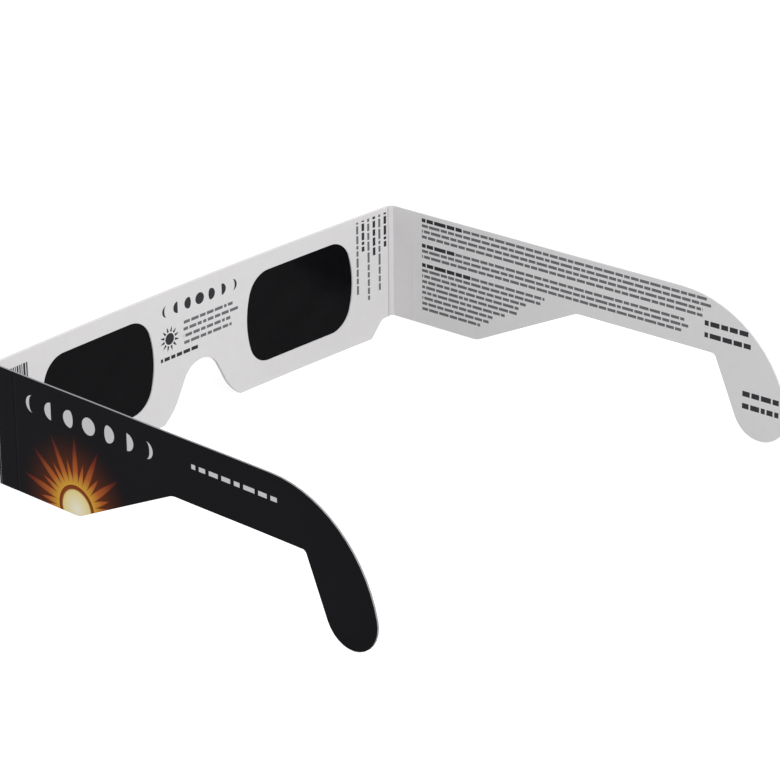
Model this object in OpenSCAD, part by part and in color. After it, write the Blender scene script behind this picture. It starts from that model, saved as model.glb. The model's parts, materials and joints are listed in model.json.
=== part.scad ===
// Folding eclipse glasses of die-cut card.
// An outer card is scored twice at each end, so its ends fold back as temples.
// A second, shorter card is glued behind the front and traps two filter films.
// The glasses stand on the lower edge of the front and on the two hooked tips.
// +Z is up, the front faces -Y, the temples run to +Y, and +X is the wearer's left.

/* [Front] */
// Width over the two outer creases, where the temples start
span_w = 148; // [134:1:160]
// Height of the front, from the surface it stands on to its straight top edge
front_h = 37; // [35:0.5:42]
// How far the middle of the front bows forward of its ends
front_bow = 1.6; // [0.6:0.1:3]
// Height of the folds' lower ends above the surface the front stands on
fold_rise = 4.8; // [3:0.1:7]
// Length of the raised end of the front's lower edge, from the inner crease
end_step_l = 7.4; // [6:0.1:10]
// Sideways run of the slanted step between the two heights
end_step_run = 4.1; // [1:0.1:4.5]
// Rounding of the step's outer corner, at the lower edge
end_step_r = 1.2; // [0.6:0.1:1.6]
// Rounding of the step's inner corner, under the fold
end_step_inner_r = 2.5; // [0.6:0.1:3]

/* [Board] */
// Thickness of the outer card
card_t = 0.5; // [0.4:0.05:0.6]
// Thickness of the backing card
backing_t = 0.4; // [0.3:0.05:0.5]
// Thickness of the filter films and of the glue line around them
film_t = 0.1; // [0.05:0.01:0.15]

/* [Windows] */
// Width of the card left beside each window, out to the outer crease
rim_side = 15.9; // [11:0.1:19]
// Width of the card left between the two windows, over the nose
bridge_w = 34.8; // [31:0.2:40]
// Height of the card left above each window, up to the top edge
rim_above = 4.9; // [4.2:0.1:7]
// Height of the card left below each window, down to the lower edge
rim_below = 6.2; // [5:0.1:8]
// Radius of the window corners
window_corner_r = 7.5; // [5:0.5:9]
// Radius of the gently bulging window sides
window_side_r = 26; // [22:1:60]
// How far each film reaches behind the card, past the edge of its window
film_lap = 3; // [2:0.1:3.4]
// Corner radius of the films
film_r = 2; // [1:0.5:4]
// Gap between a film and the glue that surrounds it
film_gap = 0.2; // [0.1:0.05:0.4]

/* [Nose notch] */
// Height of the notch above the lower edge
nose_h = 14.6; // [12:0.1:16]
// Radius of the arch over the bridge of the nose
nose_arch_r = 7.2; // [5:0.1:8]
// Slope of the notch's flanks against the lower edge, in degrees
nose_slope = 62; // [55:1:70]
// Radius with which the flanks flare out towards their feet
nose_flare_r = 16; // [8:0.5:18]
// Slope that is left where the flare meets the lower edge, in degrees
nose_foot_slope = 32; // [22:1:45]

/* [Folds] */
// Distance between the two crease lines of a fold
strip_w = 1.6; // [1.2:0.1:3]
// How far each temple splays out from square, in degrees
splay = 2; // [0:0.5:6]
// Clearance between the rounded edge of a fold strip and the panel next to it
crease_gap = 0.06; // [0.04:0.01:0.1]
// How far the backing card stops short of the outer card's scored edge
backing_setback = 0.1; // [0.05:0.05:1]

/* [Temples] */
// Length of a temple from its crease to the far side of the hook
arm_reach = 130.4; // [122:0.2:138]
// Height of the narrow neck of the temple
neck_h = 16.2; // [14:0.2:18]
// Length of the full-height root, from the crease to the start of the taper
root_l = 29.2; // [24:0.2:34]
// Length of the taper from the root down to the neck
taper_l = 33.8; // [28:0.2:36]
// Rounding at both ends of the taper
taper_r = 5.5; // [3:0.5:12]
// Outer radius of the bend behind the ear
bend_r = 34.2; // [33:0.2:38]
// Radius of the hook's round tip
tip_r = 8.4; // [7:0.1:9.5]
// Lean of the hook's inner edge from upright, in degrees
hook_lean = 23.5; // [16:0.5:28]
// Radius of the corner where the hook's inner edge meets the neck
hook_corner_r = 1.3; // [0.5:0.1:6]

/* [Hidden] */

// Steps in each rounded corner or arc of an outline
arc_steps = 14;
// Facets of the large cylinders that give the front its bow
bow_facets = 720;
// Facets of the rounded edges of the fold strips
bead_facets = 32;
// How far cutting shapes run past what they cut
overrun = 1;

// The folds: each turns through half of the whole bend at each crease
bend_half = (90 - splay) / 2;
bead_r = card_t / 2;
edge_gap = bead_r + crease_gap;
outer_crease_x = span_w / 2;
inner_crease_x = outer_crease_x - strip_w * cos(bend_half);
strip_dy = strip_w * sin(bend_half);
arm_dy = arm_reach * cos(splay) + bead_r * sin(splay);
depth = bead_r + front_bow + strip_dy + arm_dy;
inner_crease_y = front_bow + bead_r - depth / 2;
fold_h = front_h - fold_rise;

// The bow: an arc through both inner creases, as a radius and a centre
bow_r = (pow(inner_crease_x, 2) + pow(front_bow, 2)) / (2 * front_bow);
bow_y = inner_crease_y - front_bow + bow_r;

// Radii of the layers of the front, from its outer face inwards
outer_face_r = bow_r + bead_r;
film_face_r = bow_r - bead_r;
backing_face_r = film_face_r - film_t;
inner_face_r = backing_face_r - backing_t;

// The windows fill what their rims leave of the card
window_w = outer_crease_x - rim_side - bridge_w / 2;
window_h = front_h - rim_above - rim_below;
window_x = (bridge_w + window_w) / 2;
window_z = rim_below + window_h / 2;

// Height of the temple's neck above the surface that the glasses stand on
neck_z = front_h - neck_h;

// Points of an arc from angle a to angle b about a centre
function arc(centre, r, a, b) =
    [for (i = [0 : arc_steps]) centre + r * [cos(a + (b - a) * i / arc_steps), sin(a + (b - a) * i / arc_steps)]];

// A unit vector from p to q
function toward(p, q) = (q - p) / norm(q - p);

// The smaller difference between two directions, from -180 to 180 degrees
function turn(a, b) = (b - a + 540) % 360 - 180;

// The arc that rounds corner q between its neighbours p and s with radius r
function fillet(p, q, s, r) =
    let (u = toward(q, p),
         v = toward(q, s),
         half = acos(u * v) / 2,
         centre = q + (u + v) / norm(u + v) * r / sin(half),
         from = q + u * r / tan(half),
         to = q + v * r / tan(half),
         a = atan2(from[1] - centre[1], from[0] - centre[0]),
         b = atan2(to[1] - centre[1], to[0] - centre[0]))
    arc(centre, r, a, a + turn(a, b));

// Points mirrored left to right, in reverse order so an outline stays closed
function mirrored(points) = [for (i = [len(points) - 1 : -1 : 0]) [-points[i][0], points[i][1]]];

// Outline of the right half of the front's lower edge, from the nose arch to a chosen end
function lower_edge(end_x) =
    let (arch = [0, nose_h - nose_arch_r],
         tangent = arch + nose_arch_r * [sin(nose_slope), cos(nose_slope)],
         flare_h = nose_flare_r * (cos(nose_foot_slope) - cos(nose_slope)),
         flare = [tangent[0] + (tangent[1] - flare_h) / tan(nose_slope), flare_h],
         flare_centre = flare + nose_flare_r * [sin(nose_slope), cos(nose_slope)],
         foot = flare_centre - nose_flare_r * [sin(nose_foot_slope), cos(nose_foot_slope)],
         step_low = [inner_crease_x - end_step_l, 0],
         step_high = [step_low[0] + end_step_run, fold_rise],
         end = [end_x, fold_rise])
    concat(arc(arch, nose_arch_r, 90, 90 - nose_slope),
           arc(flare_centre, nose_flare_r, 270 - nose_slope, 270 - nose_foot_slope),
           fillet(foot, step_low, step_high, end_step_r),
           fillet(step_low, step_high, end, end_step_inner_r),
           [end]);

// Outline of a front board that ends at a chosen distance from the middle
function front_outline(end_x) =
    let (half = concat(lower_edge(end_x), [[end_x, front_h]]))
    concat(half, mirrored(half));

// Outline of a window about its own centre: bulging sides and round corners
module window_shape() {
    side_x = window_w / 2 - window_side_r;
    corner_z = window_h / 2 - window_corner_r;
    corner_x = side_x + sqrt(pow(window_side_r - window_corner_r, 2) - pow(corner_z, 2));
    lean = atan2(corner_z, corner_x - side_x);
    half = concat(arc([corner_x, -corner_z], window_corner_r, -90, -lean),
                  arc([side_x, 0], window_side_r, -lean, lean),
                  arc([corner_x, corner_z], window_corner_r, lean, 90));
    polygon(concat(half, mirrored(half)));
}

// Outline of a filter film about its own centre, grown by a margin
module film_shape(margin) {
    w = window_w + 2 * film_lap + 2 * margin;
    h = window_h + 2 * film_lap + 2 * margin;
    half = concat(fillet([0, -h / 2], [w / 2, -h / 2], [w / 2, 0], film_r),
                  fillet([w / 2, 0], [w / 2, h / 2], [0, h / 2], film_r));
    polygon(concat(half, mirrored(half)));
}

// Puts its children at the centre of both windows
module at_windows() {
    for (side = [-1, 1]) translate([side * window_x, window_z]) children();
}

// A sheet of the bowed front: a flat outline bent between two radii
module bowed(r_out, r_in) {
    intersection() {
        translate([0, inner_crease_y + strip_w, 0]) rotate([90, 0, 0])
            linear_extrude(front_bow + card_t + 2 * strip_w) children();
        translate([0, bow_y, -overrun]) difference() {
            cylinder(r = r_out, h = front_h + 2 * overrun, $fn = bow_facets);
            translate([0, 0, -overrun]) cylinder(r = r_in, h = front_h + 4 * overrun, $fn = bow_facets);
        }
    }
}

// Outline of a temple from its crease, with the length along X and the height along Y
module temple_shape() {
    bend_z = front_h - bend_r;
    tip_dx = sqrt(pow(bend_r - tip_r, 2) - pow(tip_r - bend_z, 2));
    tip_x = arm_reach - tip_r;
    bend = [tip_x - tip_dx, bend_z];
    tip = [tip_x, tip_r];
    join = atan2(tip_r - bend_z, tip_dx);
    hook_low = tip - tip_r * [cos(hook_lean), sin(hook_lean)];
    hook_high = [hook_low[0] - (neck_z - hook_low[1]) * tan(hook_lean), neck_z];
    taper_high = [root_l + taper_l, neck_z];
    taper_low = [root_l, fold_rise];
    polygon(concat([[edge_gap, fold_rise], [edge_gap, front_h]],
                   arc(bend, bend_r, 90, join),
                   arc(tip, tip_r, join, hook_lean - 180),
                   fillet(hook_low, hook_high, taper_high, hook_corner_r),
                   fillet(hook_high, taper_high, taper_low, taper_r),
                   fillet(taper_high, taper_low, [edge_gap, fold_rise], taper_r)));
}

// Puts its children at the outer crease of a side, with the temple's length along X
module at_outer_crease(side) {
    mirror([side < 0 ? 1 : 0, 0, 0])
        translate([outer_crease_x, inner_crease_y + strip_dy, 0]) rotate([0, 0, 90 - splay]) children();
}

// A temple of card in its plane, centred on the card's thickness
module temple(side) {
    at_outer_crease(side) translate([0, bead_r, 0]) rotate([90, 0, 0]) linear_extrude(card_t) temple_shape();
}

// The narrow strip between the two creases of a fold, with rounded edges on the crease lines
module fold_strip(side) {
    mirror([side < 0 ? 1 : 0, 0, 0])
        translate([inner_crease_x, inner_crease_y, fold_rise]) rotate([0, 0, bend_half]) {
            translate([0, -bead_r, 0]) cube([strip_w, card_t, fold_h]);
            for (x = [0, strip_w]) translate([x, 0, 0]) cylinder(r = bead_r, h = fold_h, $fn = bead_facets);
        }
}

// A filter film in its place behind a window
module film(side) {
    bowed(film_face_r, backing_face_r)
        translate([side * window_x, window_z]) film_shape(0);
}

// The middle of the outer card: black and glossy outside, white inside
module front_card() {
    color("#1b1b1d") bowed(outer_face_r, film_face_r) difference() {
        polygon(front_outline(inner_crease_x - edge_gap));
        at_windows() window_shape();
    }
}

// The glue line between the two cards, open where the films lie
module glue_layer() {
    color("#d8cfae") bowed(film_face_r, backing_face_r) difference() {
        polygon(front_outline(inner_crease_x - edge_gap - backing_setback));
        at_windows() film_shape(film_gap);
    }
}

// The black filter film over the wearer's left eye
module left_film() {
    color("#18181a") film(1);
}

// The black filter film over the wearer's right eye
module right_film() {
    color("#18181a") film(-1);
}

// The white backing card glued behind the front
module backing_card() {
    color("#d6d4d5") bowed(backing_face_r, inner_face_r) difference() {
        polygon(front_outline(inner_crease_x - edge_gap - backing_setback));
        at_windows() window_shape();
    }
}

// The outer card's narrow strip in the left fold
module left_fold_strip() {
    color("#1b1b1d") fold_strip(1);
}

// The outer card's narrow strip in the right fold
module right_fold_strip() {
    color("#cfcdce") fold_strip(-1);
}

// The left temple, seen from its black outer side
module left_temple() {
    color("#1b1b1d") temple(1);
}

// The right temple, seen from its white inner side
module right_temple() {
    color("#c8c8ca") temple(-1);
}

front_card();
glue_layer();
left_film();
right_film();
backing_card();
left_fold_strip();
right_fold_strip();
left_temple();
right_temple();
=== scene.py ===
import json
import math

import bpy
from mathutils import Matrix, Vector


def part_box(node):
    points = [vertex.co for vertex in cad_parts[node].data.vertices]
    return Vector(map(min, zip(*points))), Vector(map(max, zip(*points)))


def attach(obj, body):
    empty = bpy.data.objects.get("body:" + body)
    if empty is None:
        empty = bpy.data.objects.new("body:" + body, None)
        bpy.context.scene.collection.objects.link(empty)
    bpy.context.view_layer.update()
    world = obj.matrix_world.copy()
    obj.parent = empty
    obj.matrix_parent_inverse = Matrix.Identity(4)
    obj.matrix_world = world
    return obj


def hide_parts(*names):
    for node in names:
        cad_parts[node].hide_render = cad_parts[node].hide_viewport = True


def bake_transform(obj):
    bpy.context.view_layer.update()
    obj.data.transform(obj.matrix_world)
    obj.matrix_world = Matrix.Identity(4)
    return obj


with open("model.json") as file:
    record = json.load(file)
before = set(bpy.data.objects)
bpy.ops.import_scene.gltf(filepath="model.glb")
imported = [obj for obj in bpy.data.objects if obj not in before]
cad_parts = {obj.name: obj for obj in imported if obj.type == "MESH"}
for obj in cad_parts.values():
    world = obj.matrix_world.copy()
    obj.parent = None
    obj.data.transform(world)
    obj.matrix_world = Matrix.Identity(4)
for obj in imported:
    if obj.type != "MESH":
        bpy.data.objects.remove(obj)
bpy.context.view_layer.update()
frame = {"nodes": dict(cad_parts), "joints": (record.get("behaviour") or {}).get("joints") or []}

scene = bpy.context.scene
scene.view_settings.view_transform = "Standard"


# The viewpoint: behind the wearer's left shoulder and a little above, through a long lens, as the glasses
# were photographed. Its angles run from looking along -Y, down from level, and about the line of sight.
eye = Vector((0.651061, 0.582646, 0.393921))
eye_yaw = math.radians(48.203)
eye_pitch = math.radians(22.969)
eye_roll = math.radians(-0.553)
sensor_width = 36.0
focal_in_pixels = 3783.328
image_width = 780

forward = Vector((-math.sin(eye_yaw) * math.cos(eye_pitch),
                  -math.cos(eye_yaw) * math.cos(eye_pitch),
                  -math.sin(eye_pitch)))
level_right = Vector((-math.cos(eye_yaw), math.sin(eye_yaw), 0))
level_up = level_right.cross(forward)
right = math.cos(eye_roll) * level_right + math.sin(eye_roll) * level_up
up = right.cross(forward)
camera_data = bpy.data.cameras.new("camera")
camera_data.sensor_width = sensor_width
camera_data.lens = focal_in_pixels / image_width * sensor_width
camera = bpy.data.objects.new("camera", camera_data)
scene.collection.objects.link(camera)
camera.matrix_world = Matrix.Translation(eye) @ Matrix((right, up, -forward)).transposed().to_4x4()
scene.camera = camera


# The bare inner side of the outer card: solid bleached board, calendered smooth but not coated. It is a
# soft, slightly mottled white, because the pulp is a little denser in some places than in others.
board_white = "#E4E3E4"
board_shade = "#DEDCDD"
board_roughness = 0.78
board_specular = 0.25
mottle_size = 0.0025
mottle_detail = 3.0
# Fibres are 0.02 to 0.04 mm wide, too fine to show, so they are drawn coarser.
fibre_size = 0.00018
fibre_detail = 2.0
fibre_height = 0.000006
fibre_strength = 0.6


def linear(hex_colour):
    """An sRGB hex colour as the linear values that a shader takes, by the curve of the sRGB standard."""
    parts = [int(hex_colour[i:i + 2], 16) / 255 for i in (1, 3, 5)]
    return [p / 12.92 if p <= 0.04045 else ((p + 0.055) / 1.055) ** 2.4 for p in parts] + [1.0]


def add_node(tree, kind, inputs=None, output=0, **settings):
    """Adds a node with its settings and its inputs, as values or links, and returns one of its outputs."""
    node = tree.nodes.new("ShaderNode" + kind)
    for name, value in settings.items():
        setattr(node, name, value)
    for socket, value in (inputs or {}).items():
        if isinstance(value, bpy.types.NodeSocket):
            tree.links.new(value, node.inputs[socket])
        else:
            node.inputs[socket].default_value = value
    return node.outputs[output] if node.outputs else None


def blank_material(name):
    """A new material and its empty node tree."""
    material = bpy.data.materials.new(name)
    material.use_nodes = True
    material.node_tree.nodes.clear()
    return material, material.node_tree


def bare_board(name, print_on=None):
    """Uncoated board. print_on takes the tree and the board's colour, and returns it with print on it."""
    material, tree = blank_material(name)
    place = add_node(tree, "TexCoord", output="Object")
    mottle = add_node(tree, "TexNoise", {"Vector": place, "Scale": 1 / mottle_size,
                                         "Detail": mottle_detail})
    colour = add_node(tree, "Mix", {"Factor": mottle, "A": linear(board_white), "B": linear(board_shade)},
                      "Result", data_type="RGBA")
    if print_on:
        colour = print_on(tree, colour)
    fibres = add_node(tree, "TexNoise", {"Vector": place, "Scale": 1 / fibre_size, "Detail": fibre_detail})
    bump = add_node(tree, "Bump", {"Height": fibres, "Distance": fibre_height, "Strength": fibre_strength})
    surface = add_node(tree, "BsdfPrincipled", {
        "Base Color": colour, "Roughness": board_roughness, "Specular IOR Level": board_specular,
        "Normal": bump})
    add_node(tree, "OutputMaterial", {"Surface": surface})
    return material


bare_white = bare_board("bleached_board_bare")


# The printed outer side: a solid of black offset ink under a gloss varnish. The varnish follows the board's
# fine texture, so reflections on it are soft and slightly broken.
ink_black = "#0B0A0F"
ink_worn = "#0F0E13"
varnish_roughness = 0.32
varnish_specular = 0.045
cloud_detail = 4.0
peel_size = 0.0011
peel_detail = 2.0
peel_height = 0.000012
peel_strength = 0.5


def varnished_print(name, print_on=None):
    """Black ink under gloss varnish. print_on takes the tree and the ink's colour, and adds the design."""
    material, tree = blank_material(name)
    place = add_node(tree, "TexCoord", output="Object")
    cloud = add_node(tree, "TexNoise", {"Vector": place, "Scale": 1 / mottle_size, "Detail": cloud_detail})
    colour = add_node(tree, "Mix", {"Factor": cloud, "A": linear(ink_black), "B": linear(ink_worn)},
                      "Result", data_type="RGBA")
    if print_on:
        colour = print_on(tree, colour)
    peel = add_node(tree, "TexNoise", {"Vector": place, "Scale": 1 / peel_size, "Detail": peel_detail})
    bump = add_node(tree, "Bump", {"Height": peel, "Distance": peel_height, "Strength": peel_strength})
    surface = add_node(tree, "BsdfPrincipled", {
        "Base Color": colour, "Roughness": varnish_roughness, "Specular IOR Level": varnish_specular,
        "Normal": bump})
    add_node(tree, "OutputMaterial", {"Surface": surface})
    return material


plain_black = varnished_print("black_ink_gloss_varnish")


# The die-cut edges show the board's pulp: nearly white, with faint darker lines where the plies lie. The
# left temple's cut edges are given greyer colours than the others.
edge_light = "#F0EEF0"
edge_dark = "#E0DDE0"
greyer_edge_light = "#ABA8AB"
greyer_edge_dark = "#918E91"
edge_roughness = 0.9
edge_specular = 0.1
ply_size = 0.00009
ply_detail = 3.0
ply_strength = 1.0


def cut_board(name, light, dark):
    """The raw edge of a cut board, in two shades of its pulp."""
    material, tree = blank_material(name)
    place = add_node(tree, "TexCoord", output="Object")
    plies = add_node(tree, "TexNoise", {"Vector": place, "Scale": 1 / ply_size, "Detail": ply_detail})
    colour = add_node(tree, "Mix", {"Factor": plies, "A": linear(light), "B": linear(dark)}, "Result",
                      data_type="RGBA")
    bump = add_node(tree, "Bump", {"Height": plies, "Distance": fibre_height, "Strength": ply_strength})
    surface = add_node(tree, "BsdfPrincipled", {
        "Base Color": colour, "Roughness": edge_roughness, "Specular IOR Level": edge_specular,
        "Normal": bump})
    add_node(tree, "OutputMaterial", {"Surface": surface})
    return material


cut_edge = cut_board("bleached_board_cut_edge", edge_light, edge_dark)
greyer_edge = cut_board("bleached_board_greyer_edge", greyer_edge_light, greyer_edge_dark)


# The front of the outer card: one panel of the die-cut sheet, with two windows and a nose notch. It bows
# forward a little between its ends, as it does when it is worn.
card_thickness = 0.0005
merge_gap = 1e-6
flat_angle = math.radians(0.5)
# A face looks a certain way when its normal's share along that way is above this.
facing_share = 0.9
edge_angle = math.radians(50)
edge_softness = 0.00005
edge_share = 0.25
edge_segments = 2
smooth_angle = math.radians(20)
grid_step = 0.004
# A panel stops this far short of its crease, and the crease's own piece takes over there.
seam_gap = 0.0006

joint_places = {joint["name"]: Vector(joint["pos_m"]) for joint in frame["joints"]}
inner_crease = joint_places["left_inner_crease"]
outer_crease = joint_places["left_fold"]
front_low, front_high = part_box("front_card")
bow_depth = inner_crease.y - card_thickness / 2 - front_low.y
bow_radius = (inner_crease.x ** 2 + bow_depth ** 2) / (2 * bow_depth)
bow_centre_y = inner_crease.y - bow_depth + bow_radius
outer_face_radius = bow_radius + card_thickness / 2
outer_slot, inner_slot, edge_slot = range(3)


def select_only(piece):
    """Makes one piece the only selected object, and the active one."""
    bpy.ops.object.select_all(action="DESELECT")
    piece.select_set(True)
    bpy.context.view_layer.objects.active = piece


def die_cut(node, name, outward, thickness, materials, place=None, flatten=False):
    """Cuts a card or film to a packed panel's outline, flat in its own X-Z plane, with soft edges.

    materials are for the outer face, the inner face and the cut edge. place is where the panel stands, and
    flatten takes its bow out.
    """
    mesh = frame["nodes"][node].data.copy()
    mesh.materials.clear()
    if place:
        mesh.transform(place.inverted())
    for material in materials:
        mesh.materials.append(material)
    sheet = bpy.data.objects.new(name, mesh)
    scene.collection.objects.link(sheet)
    select_only(sheet)
    scene.tool_settings.mesh_select_mode = (False, False, True)
    bpy.ops.object.mode_set(mode="EDIT")
    bpy.ops.mesh.customdata_custom_splitnormals_clear()
    bpy.ops.mesh.select_all(action="SELECT")
    bpy.ops.mesh.remove_doubles(threshold=merge_gap)
    bpy.ops.mesh.select_all(action="DESELECT")
    bpy.ops.object.mode_set(mode="OBJECT")
    for face in mesh.polygons:
        face.material_index = outer_slot
        face.select = face.normal.dot(outward) < facing_share
    bpy.ops.object.mode_set(mode="EDIT")
    bpy.ops.mesh.delete(type="FACE")
    bpy.ops.object.mode_set(mode="OBJECT")
    if flatten:
        for vertex in mesh.vertices:
            vertex.co.y = 0
    bpy.ops.object.mode_set(mode="EDIT")
    bpy.ops.mesh.select_all(action="SELECT")
    bpy.ops.mesh.dissolve_limited(angle_limit=flat_angle)
    bpy.ops.object.mode_set(mode="OBJECT")
    wall = sheet.modifiers.new("thickness", "SOLIDIFY")
    wall.thickness = thickness
    wall.offset = -1
    wall.material_offset = inner_slot
    wall.material_offset_rim = edge_slot
    bpy.ops.object.modifier_apply(modifier="thickness")
    bpy.ops.object.mode_set(mode="EDIT")
    bpy.ops.mesh.select_all(action="DESELECT")
    bpy.ops.mesh.select_mode(type="EDGE")
    bpy.ops.mesh.edges_select_sharp(sharpness=edge_angle)
    softness = min(edge_softness, thickness * edge_share)
    bpy.ops.mesh.bevel(offset=softness, segments=edge_segments, affect="EDGES", material=edge_slot)
    bpy.ops.object.mode_set(mode="OBJECT")
    return sheet


def cut_grid(sheet, columns, rows):
    """Cuts a flat sheet across at these X and Z places, so that it can bend."""
    select_only(sheet)
    bpy.ops.object.mode_set(mode="EDIT")
    lines = [(Vector((x, 0, 0)), Vector((1, 0, 0))) for x in columns]
    lines += [(Vector((0, 0, z)), Vector((0, 0, 1))) for z in rows]
    for point, normal in lines:
        bpy.ops.mesh.select_all(action="SELECT")
        bpy.ops.mesh.bisect(plane_co=point, plane_no=normal)
    bpy.ops.object.mode_set(mode="OBJECT")


def trim(sheet, x, keep_side):
    """Cuts a flat sheet off square at X, keeps the part on one side, and closes its end."""
    select_only(sheet)
    bpy.ops.object.mode_set(mode="EDIT")
    bpy.ops.mesh.select_all(action="SELECT")
    bpy.ops.mesh.bisect(plane_co=(x, 0, 0), plane_no=(keep_side, 0, 0), use_fill=True, clear_inner=True)
    bpy.ops.object.mode_set(mode="OBJECT")


def spaced(start, stop, step):
    """Evenly spaced places strictly between two ends, no further apart than a step."""
    count = math.ceil((stop - start) / step)
    return [start + (stop - start) * i / count for i in range(1, count)]


def bend_to_bow(sheet, face_radius):
    """Bends a flat sheet to the front's bow, with its outer face at a radius."""
    for vertex in sheet.data.vertices:
        reach = face_radius - vertex.co.y
        vertex.co.y = bow_centre_y - math.sqrt(reach ** 2 - vertex.co.x ** 2)


def finish_shading(sheet):
    """Smooth over the gentle bends, crisp at the edges."""
    select_only(sheet)
    bpy.ops.object.shade_smooth_by_angle(angle=smooth_angle)


front_seam_x = inner_crease.x - seam_gap
front = die_cut("front_card", "outer_card_front", Vector((0, -1, 0)), card_thickness,
                (plain_black, bare_white, cut_edge), flatten=True)
trim(front, front_seam_x, -1)
trim(front, -front_seam_x, 1)
cut_grid(front, spaced(-front_seam_x, front_seam_x, grid_step), spaced(0, front_high.z, grid_step))
bend_to_bow(front, outer_face_radius)
finish_shading(front)
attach(front, "front")
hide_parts("front_card")


# The backing card: a thinner white card glued behind the front, cut to the same outline but a little
# shorter, so its cut ends show just inside the folds. It is printed in dark and grey ink with a row of
# moons, a small sun and rows of strokes.
backing_thickness = 0.0004
film_thickness = 0.0001
print_dark = "#303034"
print_grey = "#6C6C70"
word_gap = 0.0005
# Moves each row's pattern along from the last one's, so that no two rows are alike.
row_shift = 37.7
# The middle of a row, or of the space that a ray stands in, both of which are 1 across.
half_cell = 0.5
moons_to_a_side = 3
moon_step = 0.5
# Places in the print are across the panel from its middle, and up from its lower edge.
dark_moons = dict(centre=(0.0, 0.0316), radius=0.0016, pitch=0.0041)
small_sun = (-0.0115, 0.0237)
small_sun_disc = 0.0016
small_rays = dict(start=0.0020, reach=0.0036, count=12, spread=0.36)
ray_edge_share = 1 / 6
grey_rows = dict(start=-0.0063, end=0.0148, top=0.0276, count=4, pitch=0.0019, stroke=0.00085, word=0.0026,
                 ragged=0.004)
dark_row = dict(start=-0.0150, end=-0.0012, top=0.0193, count=1, pitch=0.0018, stroke=0.001, word=0.0028)
end_bars = dict(start=-0.0702, end=-0.0624, top=0.0345, count=1, pitch=0.006, stroke=0.0046, word=0.0008,
                gap=0.0003)
# The rows beside the fold run down the panel, from its upper corner.
dark_columns = dict(start=0.0013, end=0.0130, top=0.00065, count=3, pitch=0.0043, stroke=0.001,
                    word=0.0024, ragged=0.003)
grey_columns = dict(start=0.0013, end=0.0255, top=-0.00155, count=3, pitch=0.0043, stroke=0.0008,
                    word=0.0026, ragged=0.003)
# A painted shadow: a darker band along each cut end of the backing, in place of the shade in the step down
# to the fold.
painted_end_shadow = "#BFBCBF"
painted_end_shadow_width = 0.00045
backing_low, backing_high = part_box("backing_card")


def print_plane(tree, location, turn):
    """The place on a printed panel as two values: across the print and up it."""
    place = add_node(tree, "TexCoord", output="Object")
    local = add_node(tree, "Mapping", {"Vector": place, "Location": location, "Rotation": turn},
                     vector_type="TEXTURE")
    across = add_node(tree, "SeparateXYZ", {0: local})
    return across, across.node.outputs["Y"]


def printed_rows(tree, plane, start, end, top, count, pitch, stroke, word, gap=word_gap, ragged=0.0,
                 taper=0.0):
    """A mask of rows of short strokes, from a top line down: 1 on a stroke and 0 elsewhere.

    A stroke is about one word long and is followed by a gap. A row stops up to ragged short of the end, and
    taper draws each row in by that much more than the row above it.
    """
    across, up = plane
    # Rows are numbered from 0 downwards, and within runs from 0 to 1 down each row.
    depth = add_node(tree, "Math", {0: top, 1: up}, operation="SUBTRACT")
    line = add_node(tree, "Math", {0: depth, 1: pitch}, operation="DIVIDE")
    row = add_node(tree, "Math", {0: line}, operation="FLOOR")
    within = add_node(tree, "Math", {0: line}, operation="FRACT")
    chance = add_node(tree, "TexWhiteNoise", {"W": row}, noise_dimensions="1D")
    limit = add_node(tree, "Math", {0: chance, 1: -ragged, 2: end}, operation="MULTIPLY_ADD")
    limit = add_node(tree, "Math", {0: row, 1: -taper, 2: limit}, operation="MULTIPLY_ADD")
    # An uneven pattern of cells along the row cuts it into strokes.
    place = add_node(tree, "Math", {0: across, 1: 1 / word}, operation="MULTIPLY")
    place = add_node(tree, "Math", {0: row, 1: row_shift, 2: place}, operation="MULTIPLY_ADD")
    apart = add_node(tree, "TexVoronoi", {"W": place, "Scale": 1.0}, "Distance",
                     voronoi_dimensions="1D", feature="DISTANCE_TO_EDGE")
    mask = add_node(tree, "Math", {0: row, 1: (count - 1) / 2, 2: count / 2}, operation="COMPARE")
    tests = (
        add_node(tree, "Math", {0: within, 1: half_cell, 2: stroke / pitch / 2}, operation="COMPARE"),
        add_node(tree, "Math", {0: across, 1: start}, operation="GREATER_THAN"),
        add_node(tree, "Math", {0: across, 1: limit}, operation="LESS_THAN"),
        add_node(tree, "Math", {0: apart, 1: gap / word / 2}, operation="GREATER_THAN"),
    )
    for test in tests:
        mask = add_node(tree, "Math", {0: mask, 1: test}, operation="MULTIPLY")
    return mask


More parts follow.
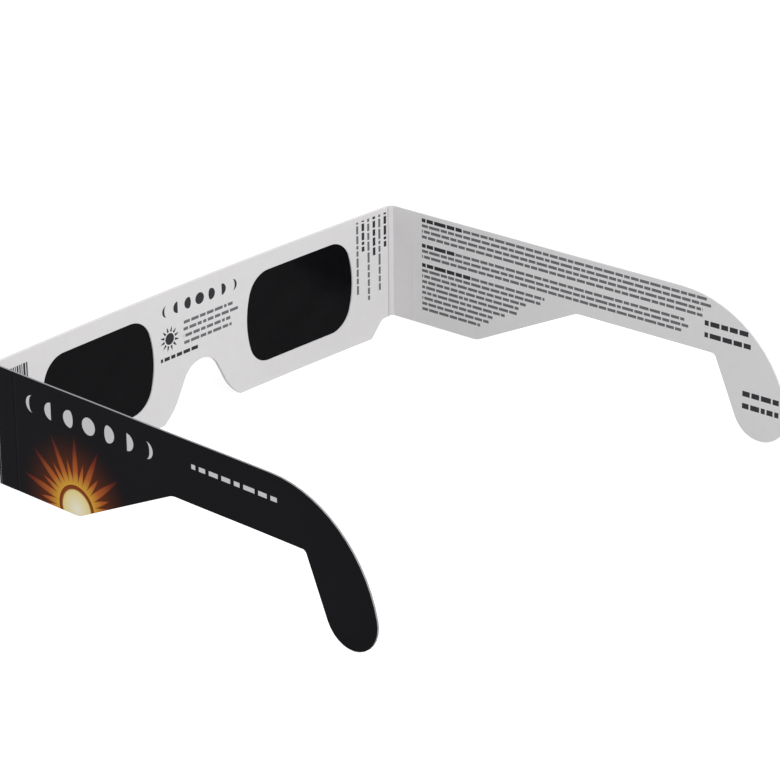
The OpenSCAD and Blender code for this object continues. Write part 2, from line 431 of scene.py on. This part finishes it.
def moon_row(tree, plane, centre, radius, pitch):
    """A mask of a row of moons, from a thin crescent through the full moon to a crescent again."""
    across, up = plane
    # The nearest moon's number from the middle one, and how far the place is off that moon's centre.
    reach = add_node(tree, "Math", {0: across, 1: centre[0]}, operation="SUBTRACT")
    rise = add_node(tree, "Math", {0: up, 1: centre[1]}, operation="SUBTRACT")
    number = add_node(tree, "Math", {0: reach, 1: pitch}, operation="DIVIDE")
    number = add_node(tree, "Math", {0: number}, operation="ROUND")
    off = add_node(tree, "Math", {0: number, 1: -pitch, 2: reach}, operation="MULTIPLY_ADD")
    side = add_node(tree, "Math", {0: number}, operation="SIGN")
    number = add_node(tree, "Math", {0: number}, operation="ABSOLUTE")
    # Half of the disc's width at this height, and the side of the edge of its shadow that is lit.
    half = add_node(tree, "Math", {0: rise, 1: rise}, operation="MULTIPLY")
    half = add_node(tree, "Math", {0: radius ** 2, 1: half}, operation="SUBTRACT")
    half = add_node(tree, "Math", {0: half, 1: 0.0}, operation="MAXIMUM")
    half = add_node(tree, "Math", {0: half}, operation="SQRT")
    bright = add_node(tree, "Math", {0: number, 1: -moon_step, 2: 1.0}, operation="MULTIPLY_ADD")
    lit = add_node(tree, "Math", {0: off, 1: side}, operation="MULTIPLY")
    lit = add_node(tree, "Math", {0: bright, 1: half, 2: lit}, operation="MULTIPLY_ADD")
    lit = add_node(tree, "Math", {0: lit, 1: 0.0}, operation="GREATER_THAN")
    off = add_node(tree, "Math", {0: off}, operation="ABSOLUTE")
    disc = add_node(tree, "Math", {0: off, 1: half}, operation="LESS_THAN")
    counted = add_node(tree, "Math", {0: number, 1: moons_to_a_side + 1}, operation="LESS_THAN")
    mask = add_node(tree, "Math", {0: lit, 1: disc}, operation="MULTIPLY")
    return add_node(tree, "Math", {0: mask, 1: counted}, operation="MULTIPLY")


def sun_round(tree, plane, centre):
    """The distance from a sun's centre, and the angle round it in turns."""
    across = add_node(tree, "Math", {0: plane[0], 1: centre[0]}, operation="SUBTRACT")
    up = add_node(tree, "Math", {0: plane[1], 1: centre[1]}, operation="SUBTRACT")
    flat = add_node(tree, "CombineXYZ", {0: across, 1: up})
    radius = add_node(tree, "VectorMath", {0: flat}, "Value", operation="LENGTH")
    angle = add_node(tree, "Math", {0: up, 1: across}, operation="ARCTAN2")
    return radius, add_node(tree, "Math", {0: angle, 1: math.tau}, operation="DIVIDE")


def sun_rays(tree, radius, angle, start, reach, count, spread, phase=0.0):
    """A mask of pointed rays between two distances. spread is a ray's half width as a share of its cell."""
    swept = add_node(tree, "Math", {0: angle, 1: float(count), 2: phase}, operation="MULTIPLY_ADD")
    cell = add_node(tree, "Math", {0: swept}, operation="FRACT")
    off = add_node(tree, "Math", {0: cell, 1: half_cell}, operation="SUBTRACT")
    off = add_node(tree, "Math", {0: off}, operation="ABSOLUTE")
    width = add_node(tree, "MapRange", {"Value": radius, "From Min": start, "From Max": reach,
                                        "To Min": spread, "To Max": 0.0})
    room = add_node(tree, "Math", {0: width, 1: off}, operation="SUBTRACT")
    mask = add_node(tree, "MapRange", {"Value": room, "From Min": 0.0, "From Max": spread * ray_edge_share})
    started = add_node(tree, "Math", {0: radius, 1: start}, operation="GREATER_THAN")
    return add_node(tree, "Math", {0: mask, 1: started}, operation="MULTIPLY")


def print_over(tree, colour, masks, ink):
    """The colour with an ink printed over it where any of the masks is 1."""
    mask = masks[0]
    for other in masks[1:]:
        mask = add_node(tree, "Math", {0: mask, 1: other}, operation="MAXIMUM")
    return add_node(tree, "Mix", {"Factor": mask, "A": colour, "B": linear(ink)}, "Result", data_type="RGBA")


# The turns that lay a print upright on the card's inner side, or sideways, with its rows running down.
upright = (math.pi / 2, 0, math.pi)
sideways = (0, math.pi / 2, math.pi / 2)


def backing_print(tree, colour):
    """Moons over a small sun, rows of strokes, more rows beside a fold, and a painted shadow at the cut
    ends.
    """
    middle = print_plane(tree, (0, 0, 0), upright)
    beside_fold = print_plane(tree, (backing_low.x, 0, backing_high.z), sideways)
    radius, angle = sun_round(tree, middle, small_sun)
    dark = [
        moon_row(tree, middle, **dark_moons),
        add_node(tree, "Math", {0: radius, 1: small_sun_disc}, operation="LESS_THAN"),
        sun_rays(tree, radius, angle, **small_rays),
        printed_rows(tree, middle, **dark_row),
        printed_rows(tree, middle, **end_bars),
        printed_rows(tree, beside_fold, **dark_columns),
    ]
    grey = [printed_rows(tree, middle, **grey_rows), printed_rows(tree, beside_fold, **grey_columns)]
    # The painted shadow along both cut ends, laid over the board's colour and under the print.
    reach = add_node(tree, "Math", {0: middle[0]}, operation="ABSOLUTE")
    ends = add_node(tree, "Math", {0: reach, 1: backing_high.x - painted_end_shadow_width}, operation="GREATER_THAN")
    colour = print_over(tree, colour, [ends], painted_end_shadow)
    return print_over(tree, print_over(tree, colour, grey, print_grey), dark, print_dark)


printed_white = bare_board("bleached_board_with_strokes_and_painted_end_shadow", backing_print)
backing = die_cut("backing_card", "backing_card_sheet", Vector((0, -1, 0)), backing_thickness,
                  (bare_white, printed_white, cut_edge), flatten=True)
cut_grid(backing, spaced(backing_low.x, backing_high.x, grid_step), spaced(0, backing_high.z, grid_step))
bend_to_bow(backing, outer_face_radius - card_thickness - film_thickness)
finish_shading(backing)
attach(backing, "front")
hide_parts("backing_card")


# The glue between the two cards: a dried, slightly yellow dispersion, rolled on in one thin coat and left
# open where the films lie. It shows only as a hair-thin line round the edges.
glue_colour = "#E2DED0"
glue_roughness = 0.5
streak_detail = 2.0

material, tree = blank_material("dried_dispersion_glue")
place = add_node(tree, "TexCoord", output="Object")
streaks = add_node(tree, "TexNoise", {"Vector": place, "Scale": 1 / mottle_size, "Detail": streak_detail})
colour = add_node(tree, "Mix", {"Factor": streaks, "A": linear(glue_colour), "B": linear(edge_light)},
                  "Result", data_type="RGBA")
surface = add_node(tree, "BsdfPrincipled", {"Base Color": colour, "Roughness": glue_roughness})
add_node(tree, "OutputMaterial", {"Surface": surface})
glue = frame["nodes"]["glue_layer"]
glue.data.materials.clear()
glue.data.materials.append(material)


# The filter films: opaque black polymer, cast smooth and glossy, trapped between the cards behind the
# windows. Each lies a little slack, so it waves slightly inside its window.
film_black = "#07070A"
film_roughness = 0.14
film_specular = 0.05
ripple_size = 0.006
ripple_detail = 1.0
ripple_height = 0.00004
ripple_strength = 0.4
film_step = 0.0025
film_wave = 0.00006
film_wave_length = 0.021
film_wave_lean = (0.8, 1.3)
slack_shares = (0.86, 0.8)
slack_power = 4

film_finish, tree = blank_material("black_polymer_film")
place = add_node(tree, "TexCoord", output="Object")
ripple = add_node(tree, "TexNoise", {"Vector": place, "Scale": 1 / ripple_size, "Detail": ripple_detail})
bump = add_node(tree, "Bump", {"Height": ripple, "Distance": ripple_height, "Strength": ripple_strength})
surface = add_node(tree, "BsdfPrincipled", {
    "Base Color": linear(film_black), "Roughness": film_roughness, "Specular IOR Level": film_specular,
    "Normal": bump})
add_node(tree, "OutputMaterial", {"Surface": surface})

for side in ("left", "right"):
    node = side + "_film"
    low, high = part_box(node)
    film = die_cut(node, side + "_filter_film", Vector((0, -1, 0)), film_thickness,
                   (film_finish, film_finish, film_finish), flatten=True)
    cut_grid(film, spaced(low.x, high.x, film_step), spaced(low.z, high.z, film_step))
    bend_to_bow(film, outer_face_radius - card_thickness)
    middle = (low + high) / 2
    half = (high - low) / 2
    for vertex in film.data.vertices:
        across = (vertex.co.x - middle.x) / half.x
        along = (vertex.co.z - middle.z) / half.z
        slack = max(0, 1 - (across / slack_shares[0]) ** slack_power)
        slack *= max(0, 1 - (along / slack_shares[1]) ** slack_power)
        lean = vertex.co.x * film_wave_lean[0] + vertex.co.z * film_wave_lean[1]
        swing = math.sin(lean / film_wave_length * math.tau)
        vertex.co.y += film_wave * slack * swing
    finish_shading(film)
    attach(film, "front")
    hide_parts(node)


# The temples: the two end panels of the outer card, with a taper to the neck and a hook behind the ear. Each
# has a second, lighter score line near its root, pressed from the outside, and a fine groove shows there.
splay = math.radians(2)
second_score = 0.007
score_half_width = 0.0004
score_depth = 0.00005
score_shares = (-1.6, -1, -0.5, 0, 0.5, 1, 1.6)
sheet_wave = 0.00005
sheet_wave_length = 0.047
wave_lean = 0.6
wave_settling = 0.03

white_print = "#D9D8DA"
# Places in a temple's print are along from its fold, and up from the level that the glasses stand on.
sun_centre = (0.0285, 0.0065)
sun_disc = 0.0052
disc_edge_share = 0.04
sun_reach = 0.0205
short_reach = 0.0135
sun_ring = dict(start=0.0064, count=14, spread=0.3)
glow_reach = 0.021
glow_colour = "#8F4216"
# The sun's colours from its centre, at 0, to the tips of its long rays, at 1.
sun_stops = ((0.0, "#FFF9E6"), (0.22, "#F4E3A0"), (0.31, "#E0AC3E"), (0.5, "#B8602A"), (0.78, "#742A1C"),
             (1.0, "#1C1012"))
white_moons = dict(centre=(0.0340, 0.0302), radius=0.0023, pitch=0.0068)
white_row = dict(start=0.0700, end=0.0985, top=0.0318, count=1, pitch=0.0024, stroke=0.0012, word=0.0042,
                 gap=0.0012)


def sunburst(tree, colour):
    """A plain sun with pointed rays and a soft glow, low on the root, under a row of white moons."""
    plane = print_plane(tree, (outer_crease.x, outer_crease.y, 0), (math.pi / 2, 0, math.pi / 2 - splay))
    radius, angle = sun_round(tree, plane, sun_centre)
    glow = add_node(tree, "MapRange", {"Value": radius, "From Min": sun_disc, "From Max": glow_reach,
                                       "To Min": 1.0, "To Max": 0.0})
    glow = add_node(tree, "Math", {0: glow, 1: glow}, operation="MULTIPLY")
    colour = add_node(tree, "Mix", {"Factor": glow, "A": colour, "B": linear(glow_colour)}, "Result",
                      data_type="RGBA")
    disc = add_node(tree, "MapRange", {"Value": radius, "From Min": sun_disc * (1 + disc_edge_share),
                                       "From Max": sun_disc * (1 - disc_edge_share)})
    mask = sun_rays(tree, radius, angle, reach=sun_reach, **sun_ring)
    short_rays = sun_rays(tree, radius, angle, reach=short_reach, phase=half_cell, **sun_ring)
    for other in (short_rays, disc):
        mask = add_node(tree, "Math", {0: mask, 1: other}, operation="MAXIMUM")
    share = add_node(tree, "Math", {0: radius, 1: sun_reach}, operation="DIVIDE")
    warm = add_node(tree, "ValToRGB", {"Fac": share})
    ramp = warm.node.color_ramp
    for position, hex_colour in sun_stops[1:-1]:
        ramp.elements.new(position).color = linear(hex_colour)
    ramp.elements[0].color = linear(sun_stops[0][1])
    ramp.elements[-1].color = linear(sun_stops[-1][1])
    colour = add_node(tree, "Mix", {"Factor": mask, "A": colour, "B": warm}, "Result", data_type="RGBA")
    white = [moon_row(tree, plane, **white_moons), printed_rows(tree, plane, **white_row)]
    return print_over(tree, colour, white, white_print)


root_rows = dict(start=0.0102, pitch=0.0016, word=0.003, gap=0.00036)
row_stroke = 0.00082
heading_stroke = 0.00108
root_blocks = (
    dict(top=0.0360, count=4, end=0.1070, ragged=0.004),
    dict(top=0.02865, count=3, end=0.0995, ragged=0.003),
    dict(top=0.0230, count=9, end=0.0540, ragged=0.003, taper=0.0027),
)
heading_ends = (0.0240, 0.0220, 0.0275)
ear_blocks = (
    dict(start=0.1042, end=0.1190, top=0.0303, count=2, pitch=0.0033, stroke=0.0014, word=0.0034,
         ragged=0.002),
    dict(start=0.1165, end=0.1278, top=0.0138, count=2, pitch=0.0034, stroke=0.0015, word=0.003),
)


def temple_strokes(tree, colour):
    """Rows of plain strokes on the bare side: three blocks at the root and two small ones at the hook."""
    plane = print_plane(tree, (-outer_crease.x, outer_crease.y, 0), (math.pi / 2, 0, math.pi / 2 + splay))
    grey = [printed_rows(tree, plane, stroke=row_stroke, **root_rows, **block) for block in root_blocks]
    dark = [printed_rows(tree, plane, stroke=heading_stroke, end=end, top=block["top"], count=1, **root_rows)
            for block, end in zip(root_blocks, heading_ends)]
    dark += [printed_rows(tree, plane, **block) for block in ear_blocks]
    return print_over(tree, print_over(tree, colour, grey, print_grey), dark, print_dark)


def hump(off):
    """A smooth rise to 1 in the middle, from 0 at one unit to either side."""
    return (1 + math.cos(math.pi * off)) / 2 if abs(off) < 1 else 0


# Each side's sign along X, its outer and inner faces, and its cut edge.
sides = {
    "left": (1, varnished_print("sunburst_print_gloss_varnish", sunburst), bare_white, greyer_edge),
    "right": (-1, plain_black, bare_board("bleached_board_with_rows", temple_strokes), cut_edge),
}
for side, (sign, outside, inside, rim) in sides.items():
    node = side + "_temple"
    angle = math.pi / 2 - sign * splay
    place = Matrix.Translation((sign * outer_crease.x, outer_crease.y, 0)) @ Matrix.Rotation(angle, 4, "Z")
    temple = die_cut(node, side + "_temple_card", Vector((0, -sign, 0)), card_thickness,
                     (outside, inside, rim), place=place)
    trim(temple, seam_gap, 1)
    low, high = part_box(node)
    length = (high.y - low.y) / math.cos(splay)
    across_score = [second_score + score_half_width * share for share in score_shares]
    columns = spaced(seam_gap, second_score, grid_step) + across_score
    columns += spaced(second_score, length, grid_step)
    cut_grid(temple, columns, spaced(0, high.z, grid_step))
    for vertex in temple.data.vertices:
        along = vertex.co.x
        settled = min(1, max(0, (along - second_score) / wave_settling))
        swing = math.sin((along + wave_lean * vertex.co.z) / sheet_wave_length * math.tau)
        press = score_depth * hump((along - second_score) / score_half_width)
        vertex.co.y += sheet_wave * settled * swing + sign * press
    temple.data.transform(place)
    finish_shading(temple)
    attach(temple, side + "_arm")
    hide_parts(node)


# The folds: two creases on each side with a narrow strip between them. The creasing rule left a low bead
# inside each bend, and the card turns round it without cracking. Each crease is bent from the heading of one
# panel that it joins to the heading of the other.
bend_half_width = 0.00031
bead_height = 0.000035
bead_half_width = 0.00014
fold_low, fold_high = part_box("left_fold_strip")
strip = outer_crease - inner_crease
strip_width = math.hypot(strip.x, strip.y)
strip_heading = math.atan2(strip.y, strip.x)
front_heading = math.asin(inner_crease.x / bow_radius)
temple_heading = math.pi / 2 - splay
fine_step = 0.00006


def flat_crease(name, start, stop):
    """A short length of the card at a fold, flat in its own X-Z plane, with soft edges above and below."""
    size = Vector((stop - start, card_thickness, fold_high.z - fold_low.z))
    middle = Vector(((start + stop) / 2, 0, (fold_low.z + fold_high.z) / 2))
    bpy.ops.object.select_all(action="DESELECT")
    bpy.ops.mesh.primitive_cube_add(size=1, location=middle, scale=size)
    crease = bpy.context.active_object
    crease.name = name
    bpy.ops.object.transform_apply(location=True, rotation=True, scale=True)
    for material in (plain_black, bare_white, cut_edge):
        crease.data.materials.append(material)
    for face in crease.data.polygons:
        face.material_index = edge_slot
        if face.normal.y < -facing_share:
            face.material_index = outer_slot
        if face.normal.y > facing_share:
            face.material_index = inner_slot
    scene.tool_settings.mesh_select_mode = (False, True, False)
    for edge in crease.data.edges:
        ends = [crease.data.vertices[i].co for i in edge.vertices]
        edge.select = abs(ends[0].x - ends[1].x) > size.x / 2
    bpy.ops.object.mode_set(mode="EDIT")
    bpy.ops.mesh.bevel(offset=edge_softness, segments=edge_segments, affect="EDGES", material=edge_slot)
    bpy.ops.object.mode_set(mode="OBJECT")
    cut_grid(crease, spaced(start, stop, fine_step), spaced(fold_low.z, fold_high.z, grid_step))
    return crease


def bend_round(crease, sign, axis, before, after):
    """Turns a flat crease about its axis from one heading to another, with a bead inside the bend."""
    for vertex in crease.data.vertices:
        along, through = vertex.co.x, vertex.co.y
        if through > 0:
            through += bead_height * hump(along / bead_half_width)
        # The card eases in and out of the bend.
        share = min(1, max(0, (along / bend_half_width + 1) / 2))
        heading = before + (after - before) * share * share * (3 - 2 * share)
        vertex.co.x = sign * (axis.x + along * math.cos(heading) - through * math.sin(heading))
        vertex.co.y = axis.y + along * math.sin(heading) + through * math.cos(heading)
    if sign < 0:
        bpy.ops.object.mode_set(mode="EDIT")
        bpy.ops.mesh.select_all(action="SELECT")
        bpy.ops.mesh.normals_make_consistent(inside=False)
        bpy.ops.object.mode_set(mode="OBJECT")


# Each crease's axis, its headings on both sides, where its piece starts and stops, and its two bodies.
creases = {
    "inner": (inner_crease, front_heading, strip_heading, -seam_gap, strip_width / 2, "front", "{}_strip"),
    "outer": (outer_crease, strip_heading, temple_heading, -strip_width / 2, seam_gap, "{}_strip", "{}_arm"),
}
for side, sign in (("left", 1), ("right", -1)):
    for which, (axis, before, after, start, stop, body_a, body_b) in creases.items():
        crease = flat_crease(side + "_" + which + "_crease", start, stop)
        bend_round(crease, sign, axis, before, after)
        finish_shading(crease)
        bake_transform(crease)
        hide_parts(side + "_fold_strip")


# The stage: a plain white paper sweep as the floor, soft light from all round, and a large soft light high
# behind the viewer. The floor and the sky look plain white to the viewer.
floor_half = 3.0
floor_white = "#D0D0D0"
floor_lift = 0.7
floor_lift_in_gloss = 0.35
sky_strength = 0.67
key_power = 10.6
key_size = 1.2
key_place = Vector((0.3, 0.95, 1.05))
plain_white = (1, 1, 1, 1)
full_white = 1.0

bpy.ops.object.select_all(action="DESELECT")
bpy.ops.mesh.primitive_plane_add(size=2 * floor_half, location=(0, 0, 0))
floor = bpy.context.active_object
floor.name = "floor"
material, tree = blank_material("white_paper_sweep")
rays = add_node(tree, "LightPath", output="Is Camera Ray")
mirrored = add_node(tree, "Math", {0: rays.node.outputs["Is Glossy Ray"],
                                   1: rays.node.outputs["Is Transmission Ray"]}, operation="MAXIMUM")
mirrored = add_node(tree, "Math", {0: mirrored, 1: floor_lift_in_gloss}, operation="MULTIPLY")
lift = add_node(tree, "Math", {0: rays, 1: floor_lift}, operation="MULTIPLY")
lift = add_node(tree, "Math", {0: lift, 1: mirrored}, operation="MAXIMUM")
paper = add_node(tree, "BsdfDiffuse", {"Color": linear(floor_white)})
glow = add_node(tree, "Emission", {"Color": plain_white, "Strength": lift})
both = add_node(tree, "AddShader", {0: paper, 1: glow})
add_node(tree, "OutputMaterial", {"Surface": both})
floor.data.materials.append(material)

world = bpy.data.worlds.new("studio")
scene.world = world
world.use_nodes = True
tree = world.node_tree
tree.nodes.clear()
rays = add_node(tree, "LightPath", output="Is Camera Ray")
seen = add_node(tree, "Math", {0: rays, 1: rays.node.outputs["Is Glossy Ray"]}, operation="MAXIMUM")
seen = add_node(tree, "Math", {0: seen, 1: rays.node.outputs["Is Transmission Ray"]}, operation="MAXIMUM")
sky = add_node(tree, "MapRange", {"Value": seen, "To Min": sky_strength, "To Max": full_white})
shine = add_node(tree, "Background", {"Color": plain_white, "Strength": sky})
add_node(tree, "OutputWorld", {"Surface": shine})

key_data = bpy.data.lights.new("soft_key", "AREA")
key_data.shape = "DISK"
key_data.size = key_size
key_data.energy = key_power
key = bpy.data.objects.new("soft_key", key_data)
scene.collection.objects.link(key)
key.location = key_place
key.rotation_euler = (-key_place).to_track_quat("-Z", "Y").to_euler()
